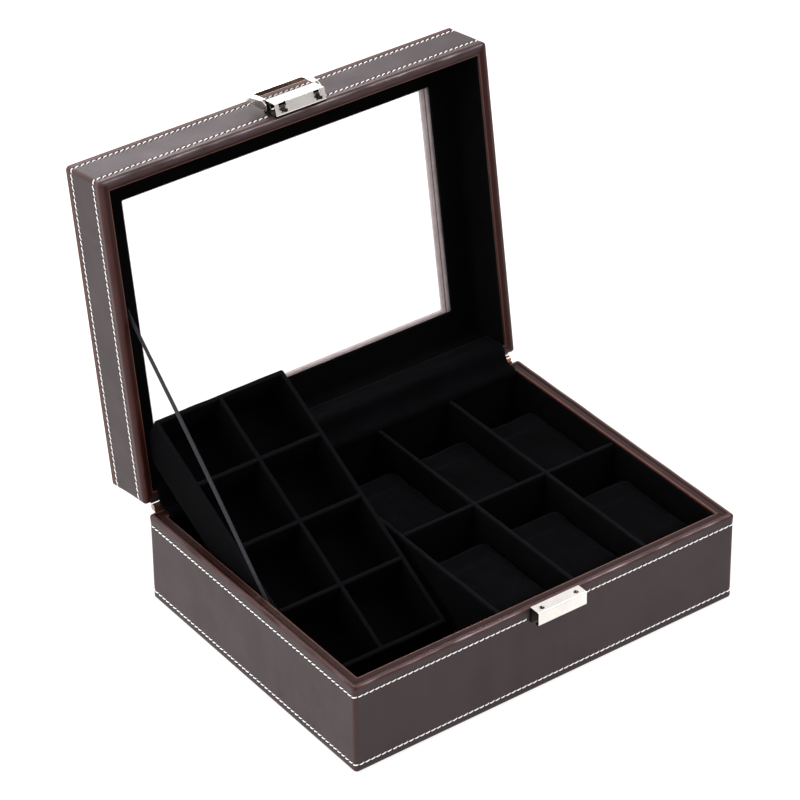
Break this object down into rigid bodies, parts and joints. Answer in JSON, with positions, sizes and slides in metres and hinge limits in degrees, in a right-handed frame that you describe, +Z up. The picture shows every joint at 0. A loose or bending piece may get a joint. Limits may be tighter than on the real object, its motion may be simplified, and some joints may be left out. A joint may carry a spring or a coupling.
{
  "type": "jewelry box",
  "caption": "Leather-covered jewelry and watch box with a hinged glass-topped lid, a lift-out compartment tray, divided cells with watch pillows and a lever clasp.",
  "frame": {"origin": "centre of the flat underside", "axes": "+X to the right along the front, +Y towards the hinge at the back, +Z up"},
  "size_m": [0.2802, 0.2896, 0.2831],
  "materials": {
    "leather": "smooth semi-matte dark brown leather, burnished reddish along the edges",
    "velvet": "black velvet",
    "pillow_velvet": "black velvet",
    "board": "bare fibreboard",
    "felt": "black felt",
    "thread": "off-white sewing thread",
    "nickel": "bright pale nickel plate",
    "brass": "aged brass",
    "glass": "clear sheet glass",
    "ribbon": "black satin ribbon"
  },
  "bodies": {
    "base": {"base_front_board": "board", "base_back_board": "board", "base_left_board": "board", "base_right_board": "board", "base_bottom_board": "board", "base_bottom_felt": "felt", "base_leather_wrap": "leather", "base_stitching_upper": "thread", "base_stitching_lower": "thread", "base_wall_lining": "velvet", "base_floor_lining": "velvet", "central_divider": "velvet", "row_divider": "velvet", "column_divider_left": "velvet", "column_divider_right": "velvet", "tray_support_partition": "velvet", "tray_rear_ledge": "velvet", "keeper": "nickel", "keeper_nails": "brass", "hinge_base_leaf": "brass", "hinge_pin": "brass", "hinge_base_screws": "brass", "hinge_gusset": "velvet", "ribbon_stay": "ribbon"},
    "lid": {"lid_front_board": "board", "lid_back_board": "board", "lid_left_board": "board", "lid_right_board": "board", "lid_top_board": "board", "lid_top_leather": "leather", "lid_glass": "glass", "lid_window_velvet": "velvet", "lid_leather_wrap": "leather", "lid_stitching_upper": "thread", "lid_stitching_lower": "thread", "lid_wall_lining": "velvet", "hinge_lid_leaf": "brass", "hinge_lid_screws": "brass", "clasp_back_plate": "nickel", "clasp_rivets": "nickel", "clasp_housing": "nickel", "clasp_pin": "nickel"},
    "tray": {"tray_frame": "velvet", "tray_floor": "velvet", "tray_long_divider": "velvet", "tray_cross_divider_front": "velvet", "tray_cross_divider_middle": "velvet", "tray_cross_divider_rear": "velvet"},
    "clasp_lever": {"clasp_lever": "nickel"},
    "pillow_front_left": {"pillow_front_left": "pillow_velvet"},
    "pillow_front_middle": {"pillow_front_middle": "pillow_velvet"},
    "pillow_front_right": {"pillow_front_right": "pillow_velvet"},
    "pillow_rear_left": {"pillow_rear_left": "pillow_velvet"},
    "pillow_rear_middle": {"pillow_rear_middle": "pillow_velvet"},
    "pillow_rear_right": {"pillow_rear_right": "pillow_velvet"}
  },
  "joints": [
    {"name": "lid_hinge", "type": "hinge", "parent": "base", "child": "lid", "pos_m": [0, 0.1089, 0.0625], "axis": [-1, 0, 0], "range_deg": [-98.2, 0], "deforming": ["hinge_gusset", "ribbon_stay"]},
    {"name": "tray_lay_flat", "type": "hinge", "parent": "lid", "child": "tray", "pos_m": [-0.0835, 0.0958, 0.10026], "axis": [-1, 0, 0], "range_deg": [0, 127]},
    {"name": "clasp_pivot", "type": "hinge", "parent": "lid", "child": "clasp_lever", "pos_m": [0.003, 0.1491, 0.27837], "axis": [-1, 0, 0], "range_deg": [0, 8]},
    {"name": "pillow_front_left_lift", "type": "slide", "parent": "base", "child": "pillow_front_left", "axis": [0, 0, 1], "range_m": [0, 0.06]},
    {"name": "pillow_front_middle_lift", "type": "slide", "parent": "base", "child": "pillow_front_middle", "axis": [0, 0, 1], "range_m": [0, 0.06]},
    {"name": "pillow_front_right_lift", "type": "slide", "parent": "base", "child": "pillow_front_right", "axis": [0, 0, 1], "range_m": [0, 0.06]},
    {"name": "pillow_rear_left_lift", "type": "slide", "parent": "base", "child": "pillow_rear_left", "axis": [0, 0, 1], "range_m": [0, 0.06]},
    {"name": "pillow_rear_middle_lift", "type": "slide", "parent": "base", "child": "pillow_rear_middle", "axis": [0, 0, 1], "range_m": [0, 0.06]},
    {"name": "pillow_rear_right_lift", "type": "slide", "parent": "base", "child": "pillow_rear_right", "axis": [0, 0, 1], "range_m": [0, 0.06]}
  ],
  "couplings": [
    {"joint": "tray_lay_flat", "follows": "lid_hinge", "ratio": -1.2923}
  ]
}
